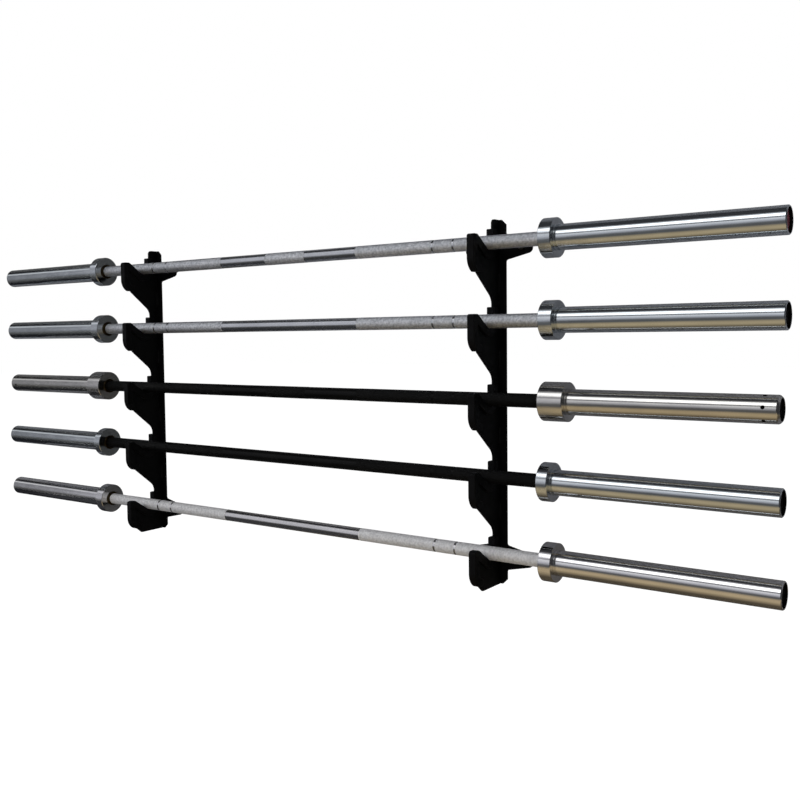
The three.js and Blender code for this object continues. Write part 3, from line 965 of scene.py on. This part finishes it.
def graded_card(name, lit):
    """Card shaded from colour to colour. It glows evenly, or else takes the light and the bars' shade."""
    finish, tree, shader = new_finish(name, {"Roughness": 1.0, "Specular IOR Level": 0.0})
    shade = add_node(tree, "VertexColor", layer_name="shade").outputs["Color"]
    if lit:
        tree.links.new(shade, shader["Base Color"])
    else:
        glow = add_node(tree, "Emission", {"Color": shade, "Strength": 1.0})
        add_node(tree, "OutputMaterial", {"Surface": glow.outputs[0]}, is_active_output=True)
    return finish


def card(name, rows, finish):
    """A strip of card through rows of (left, right, y, z, colour's name)."""
    corners = [(x, y, z) for left, right, y, z, _ in rows for x in (left, right)]
    faces = [(2 * row, 2 * row + 1, 2 * row + 3, 2 * row + 2) for row in range(len(rows) - 1)]
    mesh = bpy.data.meshes.new(name)
    mesh.from_pydata([Vector(corner) * mm for corner in corners], [], faces)
    shade = mesh.color_attributes.new("shade", "FLOAT_COLOR", "POINT")
    for index, point in enumerate(shade.data):
        point.color = linear(card_colours[rows[index // 2][4]])
    mesh.materials.append(finish)
    sheet = bpy.data.objects.new(name, mesh)
    scene.collection.objects.link(sheet)
    return sheet


def unseen(sheet):
    """Leaves a sheet to mirrors alone."""
    for ray in ("camera", "diffuse", "transmission", "volume_scatter", "shadow"):
        setattr(sheet, "visible_" + ray, False)


card("floor", [(-far, far, y, floor_level, "white") for y in (-far, far)], floor_paint())
card_floor = floor_level + card_gap
ceiling_shades = {
    "right": ((back_wall, "charcoal"), (-2950, "charcoal"), (lamp_start, "white"), (lamp_end, "white"),
              (-11200, "grey"), (front_wall, "grey")),
    "middle": ((back_wall, "black"), (-1200, "black"), (-2500, "charcoal"), (lamp_start, "silver"),
               (front_wall, "silver")),
    "left": ((back_wall, "black"), (-2500, "black"), (-5200, "white"), (-6800, "grey"),
             (front_wall, "grey")),
}
front_shades = {"right": ((5100, "grey"), (4700, "white"), (1700, "silver")), "middle": (), "left": ()}
floor_shades = {
    "right": ((front_wall, "grey"), (-5500, "dim"), (-2900, "dim"), (-1450, "tan"), (-850, "tan"),
              (-150, "brown"), (back_wall, "brown")),
    "middle": ((front_wall, "silver"), (-5500, "grey"), (-2900, "dim"), (-1900, "charcoal"),
               (-900, "charcoal"), (back_wall, "charcoal")),
    "left": ((front_wall, "grey"), (-5500, "grey"), (-1900, "dim"), (-700, "black"), (back_wall, "black")),
}
# Each edge between bays, as its place at the bars and how far it moves with each length away from them
bay_edges = ((right_wall, 0), (625, -0.49), (-625, -1.23), (-1400, -2.2))


def bay_rows(bay, edges):
    """A bay's rows, from over the rack to the front and back along the floor. It widens with distance."""
    places = [(y, ceiling_level, shade) for y, shade in ceiling_shades[bay]]
    places += [(front_wall, z, shade) for z, shade in front_shades[bay]]
    places += [(y, card_floor, shade) for y, shade in floor_shades[bay]]
    (right, right_spread), (left, left_spread) = edges
    rows = []
    for y, z, shade in places:
        away = math.hypot(y, z)
        rows.append((left + left_spread * away, right + right_spread * away, y, z, shade))
    return rows


glowing_card = graded_card("glowing_card", False)
for bay, edges in zip(ceiling_shades, zip(bay_edges, bay_edges[1:])):
    unseen(card(f"{bay}_bay", bay_rows(bay, edges), glowing_card))
wall_edges = {"right": (-300, right_wall), "middle": (-700, -300), "left": (-32000, -700)}
# The lit walls are painted black up high, as shade, where the lamp would otherwise light them brightly.
wall_shades = {
    "right": ((ceiling_level, "black"), (1300, "charcoal"), (450, "grey"), (-100, "grey"), (-600, "brown"),
              (card_floor, "brown")),
    "middle": ((ceiling_level, "black"), (1300, "dim"), (card_floor, "dim")),
    "left": ((ceiling_level, "black"), (1300, "dim"), (450, "dim"), (-100, "grey"), (-600, "black"),
             (card_floor, "black")),
}
lit_card = graded_card("lit_card", True)
for bay, shades in wall_shades.items():
    left, right = wall_edges[bay]
    unseen(card(f"{bay}_wall", [(left, right, back_wall, z, shade) for z, shade in shades], lit_card))
side_rows = [(front_wall, back_wall, 0, z, "charcoal") for z in (ceiling_level, card_floor)]
side_card = card("side_card", side_rows, glowing_card)
side_card.rotation_euler.z = math.pi / 2
side_card.location.x = right_wall * mm
unseen(side_card)


def soft_lamp(name, place, width, depth, power):
    """A rectangular soft lamp that shines straight down."""
    lamp = bpy.data.lights.new(name, "AREA")
    lamp.shape = "RECTANGLE"
    lamp.size = width * mm
    lamp.size_y = depth * mm
    lamp.energy = power
    holder = bpy.data.objects.new(name, lamp)
    holder.location = Vector(place) * mm
    scene.collection.objects.link(holder)
    return holder


lamp_place = ((lamp_left + right_wall) / 2, (lamp_start + lamp_end) / 2, ceiling_level - lamp_drop)
soft_lamp("lamp_overhead", lamp_place, right_wall - lamp_left, lamp_start - lamp_end, lamp_power)
